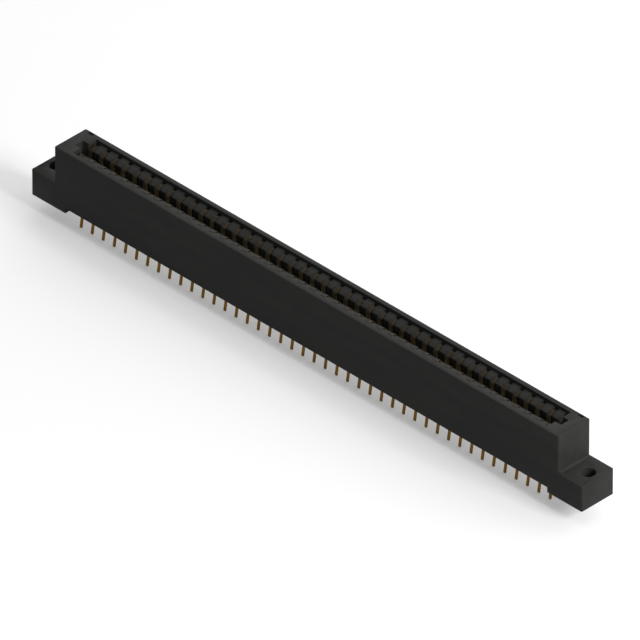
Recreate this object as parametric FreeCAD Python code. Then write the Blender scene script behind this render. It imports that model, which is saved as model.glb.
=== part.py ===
"""Card edge connector: one moulded insulator with two rows of formed spring contacts.

Millimetres. X runs along the contact rows, Y across the card slot, Z up.
The origin is midway between the two mounting holes, in the plane of the board the feet stand on.
"""

import FreeCAD, Part
import math
import os

from FreeCAD import Vector

# Contact rows
pitch = 3.175
positions = 43

# Card slot, ribs and the cavities that open into the slot
card_thickness = 1.57
card_clearance = 0.6
slot_depth = 8.9
slot_past_last_contact = 2.22
cavity_width = 1.27
cavity_floor_thickness = 3.2
rim_thickness = 1.18
rib_drop = 0.74
lead_in_flat = 0.95
lead_in_depth = 0.55

# Body, ears and feet
body_width = 9.05
body_height = 15.0
end_wall = 2.7
ear_length = 6.6
ear_height = 6.1
stand_off = 1.2
foot_under_body = 3.1
body_corner_radius = 0.45
ear_corner_chamfer = 0.2
top_edge_chamfer = 0.15
ear_root_radius = 0.6

# Mounting holes through the ears
mounting_hole_diameter = 3.15
hole_from_body_end = 3.93

# Shallow ejector pockets in the rear rim, one over each end wall
pocket_length = 1.5
pocket_width = 0.7
pocket_depth = 0.5
pocket_from_body_end = 2.05
pocket_from_rear_face = 0.25

# Formed contact strip
strip_thickness = 0.3
strip_side_clearance = 0.07
web_clearance = 0.065
card_grip = 0.17
grip_below_top = 2.0
nose_radius = 1.0
nose_bends = 4
root_above_slot_floor = 0.1
tip_setback = 0.82
tip_above_ribs = 0.29

# Solder tails
tail_width = 0.635
tail_clearance = 0.03
tail_reach = 3.94
tail_straight = 0.5
tail_splay = 9.0

# Places worked out from the sizes above
row_half = pitch * (positions - 1) / 2
slot_half_length = row_half + slot_past_last_contact
body_half = slot_half_length + end_wall
ear_half = body_half + ear_length
foot_inner = body_half - foot_under_body
hole_x = body_half + hole_from_body_end
recess_half = row_half + cavity_width / 2
half_width = body_width / 2
slot_face = (card_thickness + card_clearance) / 2
rim_inner = half_width - rim_thickness
slot_floor = body_height - slot_depth
cavity_floor = stand_off + cavity_floor_thickness
rib_top = body_height - rib_drop
lead_in_edge = rim_inner - lead_in_flat
strip_width = cavity_width - 2 * strip_side_clearance
root_y = slot_face + web_clearance + strip_thickness / 2
contact_xs = [pitch * i - row_half for i in range(positions)]
sides = (1, -1)


def block(x_span, y_span, z_span):
    """Box between two values on each axis, given in either order."""
    lows = [min(span) for span in (x_span, y_span, z_span)]
    sizes = [abs(span[1] - span[0]) for span in (x_span, y_span, z_span)]
    return Part.makeBox(*sizes, Vector(*lows))


def upright_edges(shape, x_limit):
    """Vertical edges whose distance from the middle of the part is at least x_limit."""
    found = []
    for edge in shape.Edges:
        low, high = (vertex.Point for vertex in edge.Vertexes)
        if abs(low.z - high.z) > stand_off and abs(low.x) >= x_limit and abs(high.x) >= x_limit:
            found.append(edge)
    return found


def body_block():
    """Upright block that holds the slot, its corners rounded and its top edges broken."""
    body = block((-body_half, body_half), (-half_width, half_width), (stand_off, body_height))
    body = body.makeFillet(body_corner_radius, upright_edges(body, slot_half_length))
    top = max(body.Faces, key=lambda face: face.CenterOfMass.z)
    return body.makeChamfer(top_edge_chamfer, top.Edges)


def ear_root(side):
    """Concave fillet where the end of the body rises from the top of the ear."""
    flat_end = half_width - body_corner_radius
    heel = Vector(side * body_half, -flat_end, ear_height)
    toe = heel + Vector(side * ear_root_radius, 0, 0)
    top = heel + Vector(0, 0, ear_root_radius)
    reach = ear_root_radius * (1 - math.sqrt(0.5))
    middle = heel + Vector(side * reach, 0, reach)
    edges = [
        Part.LineSegment(toe, heel).toShape(),
        Part.LineSegment(heel, top).toShape(),
        Part.Arc(top, middle, toe).toShape(),
    ]
    return Part.Face(Part.Wire(edges)).extrude(Vector(0, 2 * flat_end, 0))


def ear(side):
    """Ear with the foot that reaches in under the body, its free corners broken."""
    x_span = (side * foot_inner, side * ear_half)
    lug = block(x_span, (-half_width, half_width), (0, ear_height))
    return lug.makeChamfer(ear_corner_chamfer, upright_edges(lug, body_half))


def lead_in():
    """Wedge cut over the ribs that guides the card's edge into the slot."""
    corners = [
        Vector(-recess_half, -lead_in_edge, rib_top),
        Vector(-recess_half, lead_in_edge, rib_top),
        Vector(-recess_half, slot_face, rib_top - lead_in_depth),
        Vector(-recess_half, -slot_face, rib_top - lead_in_depth),
    ]
    section = Part.Face(Part.makePolygon(corners + corners[:1]))
    return section.extrude(Vector(2 * recess_half, 0, 0))


def contact_cavity(x, side):
    """Straight cavity beside the slot."""
    half = cavity_width / 2
    y_span = (side * slot_face, side * rim_inner)
    return block((x - half, x + half), y_span, (cavity_floor, body_height))


def tail_hole(x, side):
    """Close hole for the solder tail through the floor of a cavity."""
    half = tail_width / 2 + tail_clearance
    reach = strip_thickness / 2 + tail_clearance
    y_span = (side * (root_y - reach), side * (root_y + reach))
    return block((x - half, x + half), y_span, (stand_off, cavity_floor))


def ejector_pocket(side):
    """Shallow pocket in the rear rim, over the end wall."""
    x_mid = side * (body_half - pocket_from_body_end)
    y_high = half_width - pocket_from_rear_face
    return block(
        (x_mid - pocket_length / 2, x_mid + pocket_length / 2),
        (y_high - pocket_width, y_high),
        (body_height - pocket_depth, body_height),
    )


def insulator_housing():
    """The moulding: body, ears, feet, card slot, ribs, contact cavities and holes."""
    ends = [ear(side) for side in sides] + [ear_root(side) for side in sides]
    housing = body_block().fuse(ends)
    half = slot_half_length
    cuts = [
        block((-half, half), (-slot_face, slot_face), (slot_floor, body_height)),
        block((-recess_half, recess_half), (-rim_inner, rim_inner), (rib_top, body_height)),
        lead_in(),
    ]
    for side in sides:
        foot = Vector(side * hole_x, 0, 0)
        cuts.append(Part.makeCylinder(mounting_hole_diameter / 2, ear_height, foot))
        cuts.append(ejector_pocket(side))
        cuts.extend(contact_cavity(x, side) for x in contact_xs)
        cuts.extend(tail_hole(x, side) for x in contact_xs)
    return housing.cut(cuts).removeSplitter()


def strip_outline(centres):
    """Closed outline of the strip, bent along a centre line in the YZ plane."""
    half = strip_thickness / 2
    headings = [(b - a).normalize() for a, b in zip(centres, centres[1:])]
    flanks = []
    for side in sides:
        flank = []
        for i, centre in enumerate(centres):
            arriving = headings[max(i - 1, 0)]
            leaving = headings[min(i, len(headings) - 1)]
            mitre = Vector(0, -arriving.z - leaving.z, arriving.y + leaving.y)
            mitre = mitre * (1 / (1 + arriving.dot(leaving)))
            flank.append(centre + mitre * (side * half))
        flanks.append(flank)
    around = flanks[0] + flanks[1][::-1]
    return Part.makePolygon(around + around[:1])


def nose(grip, tip, lean):
    """Bend points of the nose, from the grip on the card to where the strip runs straight to its tip."""
    hub = grip + Vector(0, nose_radius, 0)
    to_tip = tip - hub
    overhead = math.atan2(to_tip.z, -to_tip.y)
    turn = overhead - math.acos(nose_radius / to_tip.Length)
    step = (turn + lean) / nose_bends
    reach = nose_radius / math.cos(step / 2)
    angles = [step * (i + 0.5) - lean for i in range(nose_bends)]
    return [hub + Vector(0, -math.cos(angle), math.sin(angle)) * reach for angle in angles]


def contact():
    """Rear-row contact at x = 0: splayed tail, straight root, card grip and flared tip."""
    lean_z = slot_floor + root_above_slot_floor
    grip = Vector(0, (card_thickness - card_grip + strip_thickness) / 2, body_height - grip_below_top)
    tip = Vector(0, slot_face + tip_setback + strip_thickness / 2, rib_top + tip_above_ribs)
    lean = math.atan2(root_y - grip.y, grip.z - lean_z)
    splay = (tail_reach - tail_straight) * math.tan(math.radians(tail_splay))
    centres = [
        Vector(0, root_y + splay, -tail_reach),
        Vector(0, root_y, -tail_straight),
        Vector(0, root_y, lean_z),
        *nose(grip, tip, lean),
        tip,
    ]
    section = Part.Face(strip_outline(centres))
    section.translate(Vector(-strip_width / 2, 0, 0))
    strip = section.extrude(Vector(strip_width, 0, 0))
    z_span = (cavity_floor, -tail_reach - strip_thickness)
    trims = []
    for side in sides:
        x_span = (side * tail_width / 2, side * strip_width)
        trims.append(block(x_span, (0, half_width), z_span))
    return strip.cut(trims)


def contact_pair():
    """The two contacts of one position, facing each other across the slot."""
    rear = contact()
    front = rear.mirror(Vector(0, 0, 0), Vector(0, 1, 0))
    return Part.makeCompound([rear, front])


os.makedirs("parts", exist_ok=True)
insulator_housing().exportStep("parts/insulator_housing.step")
pair = contact_pair()
for number, x in enumerate(contact_xs, start=1):
    pair.translated(Vector(x, 0, 0)).exportStep(f"parts/contact_pair_{number:02d}.step")
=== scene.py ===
import bmesh
import bpy
import math
from mathutils import Matrix, Vector


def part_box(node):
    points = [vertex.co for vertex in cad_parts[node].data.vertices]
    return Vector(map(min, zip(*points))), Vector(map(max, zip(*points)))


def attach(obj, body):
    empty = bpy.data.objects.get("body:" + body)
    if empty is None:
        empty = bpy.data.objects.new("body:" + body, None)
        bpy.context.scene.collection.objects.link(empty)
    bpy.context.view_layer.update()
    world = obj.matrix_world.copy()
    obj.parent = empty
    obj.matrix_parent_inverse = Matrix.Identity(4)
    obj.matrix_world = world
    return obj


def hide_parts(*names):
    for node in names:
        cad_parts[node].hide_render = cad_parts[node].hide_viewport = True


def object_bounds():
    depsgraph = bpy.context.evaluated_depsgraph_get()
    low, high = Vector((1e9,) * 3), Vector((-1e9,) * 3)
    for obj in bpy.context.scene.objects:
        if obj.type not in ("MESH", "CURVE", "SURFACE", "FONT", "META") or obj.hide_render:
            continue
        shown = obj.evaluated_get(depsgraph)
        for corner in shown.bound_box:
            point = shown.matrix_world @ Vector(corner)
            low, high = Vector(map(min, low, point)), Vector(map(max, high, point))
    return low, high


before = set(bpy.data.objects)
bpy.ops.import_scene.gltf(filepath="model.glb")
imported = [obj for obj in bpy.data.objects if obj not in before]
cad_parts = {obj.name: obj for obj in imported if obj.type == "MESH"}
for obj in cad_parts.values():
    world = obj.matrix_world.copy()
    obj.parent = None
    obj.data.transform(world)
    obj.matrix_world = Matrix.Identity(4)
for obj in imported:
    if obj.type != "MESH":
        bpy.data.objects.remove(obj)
cad_low, cad_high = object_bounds()

# Insulator housing: one injection moulding of black glass-filled polyester with the card slot, a rib between
# every two contacts, an ear and a foot at each end and a close hole for every solder tail. The mould's edges
# are never dead sharp, so every open edge gets a small round.
MM = 0.001
MOULD_ROUND = 0.06 * MM
SHARP_TURN = math.radians(30)
FLAT_TURN = math.radians(1)
WELD = 0.002 * MM
PLASTIC_BLACK = (0.024, 0.0242, 0.0232, 1)
PLASTIC_GREY = (0.032, 0.032, 0.0303, 1)
PLASTIC_FIBRE = (0.05, 0.049, 0.046, 1)
BLACK = (0, 0, 0, 1)
WHITE = (1, 1, 1, 1)
FLOW_STOPS = [(0.35, PLASTIC_BLACK), (0.68, PLASTIC_GREY)]
FIBRE_STOPS = [(0.62, BLACK), (0.74, WHITE)]
PLASTIC_SPECULAR = 0.05
FINE_DETAIL = 3
BROAD_DETAIL = 4
ROUGHNESS_LOW = 0.42
ROUGHNESS_HIGH = 0.62
SLOT_DEPTH = 8.9 * MM
EAR_LENGTH = 6.6 * MM
SLOT_FLOOR_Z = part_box("insulator_housing")[1].z - SLOT_DEPTH
EAR_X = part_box("insulator_housing")[1].x - EAR_LENGTH


def merged_copy(node):
    """The node's surface as one closed mesh, with its flat faces whole."""
    shape = bmesh.new()
    shape.from_mesh(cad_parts[node].data)
    bmesh.ops.remove_doubles(shape, verts=shape.verts, dist=WELD)
    bmesh.ops.dissolve_limit(
        shape, angle_limit=FLAT_TURN, verts=shape.verts, edges=shape.edges, use_dissolve_boundaries=False
    )
    return shape


def round_edges(shape, edges, width, segments):
    """Rounds the edges, no wider than their neighbours leave room for."""
    bmesh.ops.bevel(
        shape,
        geom=edges,
        offset=width,
        offset_type="OFFSET",
        segments=segments,
        profile=0.5,
        affect="EDGES",
        clamp_overlap=True,
        material=-1,
    )


def new_piece(name, shape, material):
    """A piece of the object from a finished bmesh, with smooth rounds and flat faces."""
    mesh = bpy.data.meshes.new(name)
    shape.to_mesh(mesh)
    shape.free()
    mesh.materials.append(material)
    mesh.shade_smooth()
    mesh.set_sharp_from_angle(angle=SHARP_TURN)
    piece = bpy.data.objects.new(name, mesh)
    bpy.context.collection.objects.link(piece)
    return piece


def fine_grain():
    """Shader group for the grain of a surface: a fine pattern, and a broad one squeezed by Stretch along X."""
    group = bpy.data.node_groups.new("fine_grain", "ShaderNodeTree")
    for label in ("Fine Scale", "Broad Scale", "Stretch"):
        group.interface.new_socket(label, in_out="INPUT", socket_type="NodeSocketFloat")
    for label in ("Fine", "Broad"):
        group.interface.new_socket(label, in_out="OUTPUT", socket_type="NodeSocketFloat")
    given = group.nodes.new("NodeGroupInput")
    made = group.nodes.new("NodeGroupOutput")
    link = group.links.new
    place = group.nodes.new("ShaderNodeTexCoord")
    drawn = group.nodes.new("ShaderNodeCombineXYZ")
    drawn.inputs["Y"].default_value = 1
    drawn.inputs["Z"].default_value = 1
    link(given.outputs["Stretch"], drawn.inputs["X"])
    stretched = group.nodes.new("ShaderNodeVectorMath")
    stretched.operation = "MULTIPLY"
    link(place.outputs["Object"], stretched.inputs[0])
    link(drawn.outputs["Vector"], stretched.inputs[1])
    fine = group.nodes.new("ShaderNodeTexNoise")
    fine.inputs["Detail"].default_value = FINE_DETAIL
    link(place.outputs["Object"], fine.inputs["Vector"])
    link(given.outputs["Fine Scale"], fine.inputs["Scale"])
    link(fine.outputs["Fac"], made.inputs["Fine"])
    broad = group.nodes.new("ShaderNodeTexNoise")
    broad.inputs["Detail"].default_value = BROAD_DETAIL
    link(stretched.outputs["Vector"], broad.inputs["Vector"])
    link(given.outputs["Broad Scale"], broad.inputs["Scale"])
    link(broad.outputs["Fac"], made.inputs["Broad"])
    return group


grain_group = fine_grain()


def place_grain(material, fine_scale, broad_scale, stretch):
    """The grain group in a material, with its own scales."""
    grain = material.node_tree.nodes.new("ShaderNodeGroup")
    grain.node_tree = grain_group
    grain.inputs["Fine Scale"].default_value = fine_scale
    grain.inputs["Broad Scale"].default_value = broad_scale
    grain.inputs["Stretch"].default_value = stretch
    return grain


def feed(tree, value, socket):
    """Links an output to a socket, or sets the socket to a plain number or colour."""
    if isinstance(value, bpy.types.NodeSocket):
        tree.links.new(value, socket)
    else:
        socket.default_value = value


def maths(tree, operation, first, second=0):
    """The result of a Math node on two outputs or numbers."""
    node = tree.nodes.new("ShaderNodeMath")
    node.operation = operation
    feed(tree, first, node.inputs[0])
    feed(tree, second, node.inputs[1])
    return node.outputs["Value"]


def blended(material, factor, under, over, blend="MIX"):
    """The colour that comes of laying one colour over another, as far as factor says."""
    node = material.node_tree.nodes.new("ShaderNodeMix")
    node.data_type = "RGBA"
    node.blend_type = blend
    feed(material.node_tree, factor, node.inputs["Factor"])
    feed(material.node_tree, under, node.inputs["A"])
    feed(material.node_tree, over, node.inputs["B"])
    return node.outputs["Result"]


def ramp(material, source, stops):
    """The colour of a ramp fed by source, with (position, colour) stops."""
    node = material.node_tree.nodes.new("ShaderNodeValToRGB")
    material.node_tree.links.new(source, node.inputs["Fac"])
    while len(node.color_ramp.elements) < len(stops):
        node.color_ramp.elements.new(1)
    for element, (position, colour) in zip(node.color_ramp.elements, stops):
        element.position = position
        element.color = colour
    return node.outputs["Color"]


def spread(material, source, low, high):
    """A number between low and high, taken from a 0 to 1 source."""
    node = material.node_tree.nodes.new("ShaderNodeMapRange")
    node.inputs["To Min"].default_value = low
    node.inputs["To Max"].default_value = high
    material.node_tree.links.new(source, node.inputs["Value"])
    return node.outputs["Result"]


def bumped(material, height, strength, distance):
    """A bump in the surface from a height."""
    node = material.node_tree.nodes.new("ShaderNodeBump")
    node.inputs["Strength"].default_value = strength
    node.inputs["Distance"].default_value = distance
    material.node_tree.links.new(height, node.inputs["Height"])
    return node.outputs["Normal"]


def black_polyester():
    """Satin black moulding: flow-streaked colour, glints of fibre and an even spark-eroded grain."""
    material = bpy.data.materials.new("black_polyester")
    material.use_nodes = True
    link = material.node_tree.links.new
    surface = material.node_tree.nodes["Principled BSDF"]
    surface.inputs["Specular IOR Level"].default_value = PLASTIC_SPECULAR
    grain = place_grain(material, fine_scale=9000, broad_scale=260, stretch=0.18)
    colour = ramp(material, grain.outputs["Broad"], FLOW_STOPS)
    fibre = ramp(material, grain.outputs["Fine"], FIBRE_STOPS)
    roughness = spread(material, grain.outputs["Broad"], ROUGHNESS_LOW, ROUGHNESS_HIGH)
    normal = bumped(material, grain.outputs["Fine"], strength=0.35, distance=0.012 * MM)
    link(blended(material, fibre, colour, PLASTIC_FIBRE), surface.inputs["Base Color"])
    link(roughness, surface.inputs["Roughness"])
    link(normal, surface.inputs["Normal"])
    return material


def open_edges(shape):
    """Sharp edges of the moulding that a mould maker would break: all but those round the tail holes."""
    found = []
    for edge in shape.edges:
        middle = (edge.verts[0].co + edge.verts[1].co) / 2
        in_reach = middle.z > SLOT_FLOOR_Z or abs(middle.x) > EAR_X
        if len(edge.link_faces) == 2 and edge.calc_face_angle() > SHARP_TURN and in_reach:
            found.append(edge)
    return found


housing_shape = merged_copy("insulator_housing")
round_edges(housing_shape, open_edges(housing_shape), MOULD_ROUND, segments=2)
housing = new_piece("moulded_housing", housing_shape, black_polyester())
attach(housing, "root")
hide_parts("insulator_housing")

# Contacts: strips stamped from copper alloy, formed to a nose that grips the card, a tip curled over towards
# the rim and a splayed solder tail, then plated with gold over nickel. Each stands on its shoulders on the
# floor of its cavity, with its tail through a close hole.
PAIRS = [f"contact_pair_{number:02d}" for number in range(1, 44)]
STAMPED_ROUND = 0.035 * MM
BEND_ROUND = 0.9 * MM
NOSE_ROUND = 0.08 * MM
NOSE_BELOW_TIP = 3 * MM
BEND_LENGTH = 0.4 * MM
BEND_TURN = math.radians(2)
TIP_START_Y = 1.09 * MM
TIP_START_Z = 13.659 * MM
TIP_HEADING = math.radians(47.3)
TIP_LENGTH = 1.314 * MM
TIP_STRETCH = 1.15
TIP_TURN = math.radians(53)
TIP_CUTS = 4
TAIL_GOLD = (0.21, 0.118, 0.014, 1)
# Painted light: the grip colour is a lighter gold for the grips, which lie in the shade of the cavity. Painted
# shade: the nose and tip colours are darker than gold, for the up-facing noses and tips.
GRIP_PAINTED_LIGHT = (0.42, 0.34, 0.18, 1)
NOSE_PAINTED_SHADE = (0.041, 0.036, 0.028, 1)
TIP_PAINTED_SHADE = (0.023, 0.0212, 0.0182, 1)
# Painted reflection: a dark gold for the sheared edges, which stands in for their mirror image of the dark
# cavity walls.
EDGE_PAINTED_REFLECTION = (0.062, 0.037, 0.008, 1)
STREAK = (0.65, 0.6, 0.52, 1)
PLATING_AND_PAINTED_LIGHT_STOPS = [(0, TAIL_GOLD), (0.5, GRIP_PAINTED_LIGHT), (0.82, NOSE_PAINTED_SHADE), (1, TIP_PAINTED_SHADE)]
STREAK_STOPS = [(0.3, STREAK), (0.7, WHITE)]
GOLD_BELOW_TIP = 4.4 * MM
PAINTED_SHADE_BELOW_TIP = 0.45 * MM
PAIR_TOP_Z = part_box(PAIRS[0])[1].z


def gold_plating_and_painted_light():
    """Plating with fine streaks: gold on the tails, painted light on the grips in the shade of the cavity,
    painted shade on noses and tips, and a painted dark reflection on the sheared edges.
    """
    material = bpy.data.materials.new("gold_plating_and_painted_light")
    material.use_nodes = True
    tree = material.node_tree
    surface = tree.nodes["Principled BSDF"]
    surface.inputs["Metallic"].default_value = 1
    grain = place_grain(material, fine_scale=14000, broad_scale=900, stretch=4)
    place = tree.nodes.new("ShaderNodeTexCoord")
    split = tree.nodes.new("ShaderNodeSeparateXYZ")
    tree.links.new(place.outputs["Object"], split.inputs["Vector"])
    height = tree.nodes.new("ShaderNodeMapRange")
    height.inputs["From Min"].default_value = PAIR_TOP_Z - GOLD_BELOW_TIP
    height.inputs["From Max"].default_value = PAIR_TOP_Z - PAINTED_SHADE_BELOW_TIP
    tree.links.new(split.outputs["Z"], height.inputs["Value"])
    facing = tree.nodes.new("ShaderNodeNewGeometry")
    facing_axes = tree.nodes.new("ShaderNodeSeparateXYZ")
    tree.links.new(facing.outputs["Normal"], facing_axes.inputs["Vector"])
    # Painted reflection: faces that point along X are made dark gold on the upper part of the contact.
    side_facing_amount = maths(tree, "ABSOLUTE", facing_axes.outputs["X"])
    painted_reflection_mask = maths(tree, "MULTIPLY", side_facing_amount, height.outputs["Result"])
    # Colour by height: gold on the tails, painted light on the grips low in the cavity, painted shade on the
    # noses and tips.
    plating_and_painted_light = ramp(material, height.outputs["Result"], PLATING_AND_PAINTED_LIGHT_STOPS)
    streaks = ramp(material, grain.outputs["Broad"], STREAK_STOPS)
    with_painted_reflection = blended(material, painted_reflection_mask, plating_and_painted_light, EDGE_PAINTED_REFLECTION)
    roughness = spread(material, grain.outputs["Broad"], ROUGHNESS_LOW, ROUGHNESS_HIGH)
    normal = bumped(material, grain.outputs["Fine"], strength=0.25, distance=0.004 * MM)
    tree.links.new(blended(material, 1, with_painted_reflection, streaks, "MULTIPLY"), surface.inputs["Base Color"])
    tree.links.new(roughness, surface.inputs["Roughness"])
    tree.links.new(normal, surface.inputs["Normal"])
    return material


def curl_tips(shape):
    """Curls the free ends of both contacts over in an arc, towards the rims of the housing."""
    curve = TIP_TURN / (TIP_LENGTH * TIP_STRETCH)
    for side in (1, -1):
        start = Vector((0, side * TIP_START_Y, TIP_START_Z))
        ahead = Vector((0, side * math.sin(TIP_HEADING), math.cos(TIP_HEADING)))
        above = Vector((0, -side * math.cos(TIP_HEADING), math.sin(TIP_HEADING)))
        for cut in range(1, TIP_CUTS):
            bmesh.ops.bisect_plane(
                shape,
                geom=shape.verts[:] + shape.edges[:] + shape.faces[:],
                plane_co=start + ahead * (TIP_LENGTH * cut / TIP_CUTS),
                plane_no=ahead,
            )
        for vert in shape.verts:
            from_start = vert.co - start
            along = from_start.dot(ahead) * TIP_STRETCH
            if along > 0 and vert.co.y * side > 0:
                turn = TIP_HEADING + along * curve
                turned = Vector((0, -side * math.cos(turn), math.sin(turn)))
                swept = (turned - above) / curve
                across = Vector((vert.co.x, 0, 0))
                vert.co = start + swept + turned * from_start.dot(above) + across


def formed_contacts(node):
    """Both contacts of one position, with rounded bends and broken stamped edges."""
    shape = merged_copy(node)
    curl_tips(shape)
    bends = []
    nose_bends = []
    for edge in shape.edges:
        start = edge.verts[0].co
        end = edge.verts[1].co
        if abs(start.x - end.x) > BEND_LENGTH and BEND_TURN < edge.calc_face_angle() < SHARP_TURN:
            on_nose = start.z > PAIR_TOP_Z - NOSE_BELOW_TIP
            (nose_bends if on_nose else bends).append(edge)
    round_edges(shape, bends, BEND_ROUND, segments=3)
    round_edges(shape, nose_bends, NOSE_ROUND, segments=2)
    rims = [edge for edge in shape.edges if edge.calc_face_angle() > SHARP_TURN]
    round_edges(shape, rims, STAMPED_ROUND, segments=1)
    return shape


# One material for all contacts: the plating, with its painted light and painted shade.
plating_with_painted_light = gold_plating_and_painted_light()
first_shape = formed_contacts(PAIRS[0])
first_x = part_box(PAIRS[0])[0].x
for pair in PAIRS:
    pair_shape = first_shape.copy()
    step = Vector((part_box(pair)[0].x - first_x, 0, 0))
    bmesh.ops.translate(pair_shape, vec=step, verts=pair_shape.verts)
    contacts = new_piece(pair.replace("contact_pair", "plated_contacts"), pair_shape, plating_with_painted_light)
    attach(contacts, "root")
    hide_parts(pair)
first_shape.free()

# Studio floor: a wide flat sheet of pale paper, level with the tips of the tails. It looks white to the
# camera and keeps the soft shadow of the part.
FLOOR_REACH = 3
FLOOR_GLOW = 0.315
PAPER = (0.75, 0.75, 0.76, 1)
PAPER_ROUGHNESS = 0.9
floor_shape = bmesh.new()
bmesh.ops.create_grid(floor_shape, x_segments=1, y_segments=1, size=FLOOR_REACH)
bmesh.ops.translate(floor_shape, vec=Vector((0, 0, cad_low.z)), verts=floor_shape.verts)


def seen_directly(tree, amount):
    """The amount for rays from the camera, in a reflection or through glass, and 0 for all others."""
    path = tree.nodes.new("ShaderNodeLightPath")
    total = path.outputs["Is Camera Ray"]
    for kind in ("Is Glossy Ray", "Is Transmission Ray"):
        total = maths(tree, "MAXIMUM", total, path.outputs[kind])
    return maths(tree, "MULTIPLY", total, amount)


def pale_sheet():
    """White paper that glows a little for the camera, so that its open parts are pure white."""
    material = bpy.data.materials.new("pale_sheet")
    material.use_nodes = True
    tree = material.node_tree
    surface = tree.nodes["Principled BSDF"]
    surface.inputs["Base Color"].default_value = PAPER
    surface.inputs["Roughness"].default_value = PAPER_ROUGHNESS
    surface.inputs["Specular IOR Level"].default_value = 0
    surface.inputs["Emission Color"].default_value = WHITE
    tree.links.new(seen_directly(tree, FLOOR_GLOW), surface.inputs["Emission Strength"])
    return material


floor = new_piece("floor", floor_shape, pale_sheet())

# Light: a faint even sky, a broad soft panel behind the part, a weak one over its front and a lamp over its
# right end, so that the top and the right end are lit and the front stays in shade.
SKY_LEVEL = 0.085
world = bpy.data.worlds.new("sky")
bpy.context.scene.world = world
world.use_nodes = True
sky = world.node_tree.nodes["Background"]
sky.inputs["Color"].default_value = WHITE
seen_white = seen_directly(world.node_tree, 1 - SKY_LEVEL)
sky_strength = maths(world.node_tree, "ADD", seen_white, SKY_LEVEL)
world.node_tree.links.new(sky_strength, sky.inputs["Strength"])


def soft_lamp(name, place, size, watts):
    """An area lamp that faces the part; its size is given along X and across."""
    lamp_data = bpy.data.lights.new(name, "AREA")
    lamp_data.shape = "RECTANGLE"
    lamp_data.size, lamp_data.size_y = size
    lamp_data.energy = watts
    lamp = bpy.data.objects.new(name, lamp_data)
    lamp.location = place
    lamp.rotation_mode = "QUATERNION"
    lamp.rotation_quaternion = (-place).to_track_quat("-Z", "Y")
    bpy.context.collection.objects.link(lamp)


soft_lamp("rear_panel", place=Vector((0, 0.75, 0.6)), size=(2.4, 1.4), watts=11.8)
soft_lamp("top_panel", place=Vector((0, -0.2, 0.96)), size=(1.8, 0.4), watts=1.8)
soft_lamp("right_lamp", place=Vector((0.84, 0.04, 0.54)), size=(0.35, 0.35), watts=8)

# Camera: an isometric view of the front, the top and the right end, through a very long lens. It looks at a
# point near the middle of the part, moved a little within the picture so that both ends lie as they should.
VIEW_AZIMUTH = math.radians(44.96)
VIEW_ELEVATION = math.radians(35.32)
LENS_MM = 1500
DISTANCE = 5.3615
CLIP_NEAR = DISTANCE / 100
CLIP_FAR = DISTANCE * 3
AIM = Vector((-0.28 * MM, 0, 5.507 * MM))
AIM_RIGHT = 0.142 * MM
AIM_UP = -0.085 * MM
level_back = Vector((math.sin(VIEW_AZIMUTH), -math.cos(VIEW_AZIMUTH), 0))
back = level_back * math.cos(VIEW_ELEVATION) + Vector((0, 0, math.sin(VIEW_ELEVATION)))
right = Vector((math.cos(VIEW_AZIMUTH), math.sin(VIEW_AZIMUTH), 0))
up = back.cross(right)
camera_data = bpy.data.cameras.new("camera")
camera_data.lens = LENS_MM
camera_data.clip_start = CLIP_NEAR
camera_data.clip_end = CLIP_FAR
camera = bpy.data.objects.new("camera", camera_data)
camera.location = AIM + right * AIM_RIGHT + up * AIM_UP + back * DISTANCE
camera.rotation_mode = "QUATERNION"
camera.rotation_quaternion = Matrix((right, up, back)).transposed().to_quaternion()
bpy.context.collection.objects.link(camera)
bpy.context.scene.camera = camera
bpy.context.scene.view_settings.view_transform = "Standard"
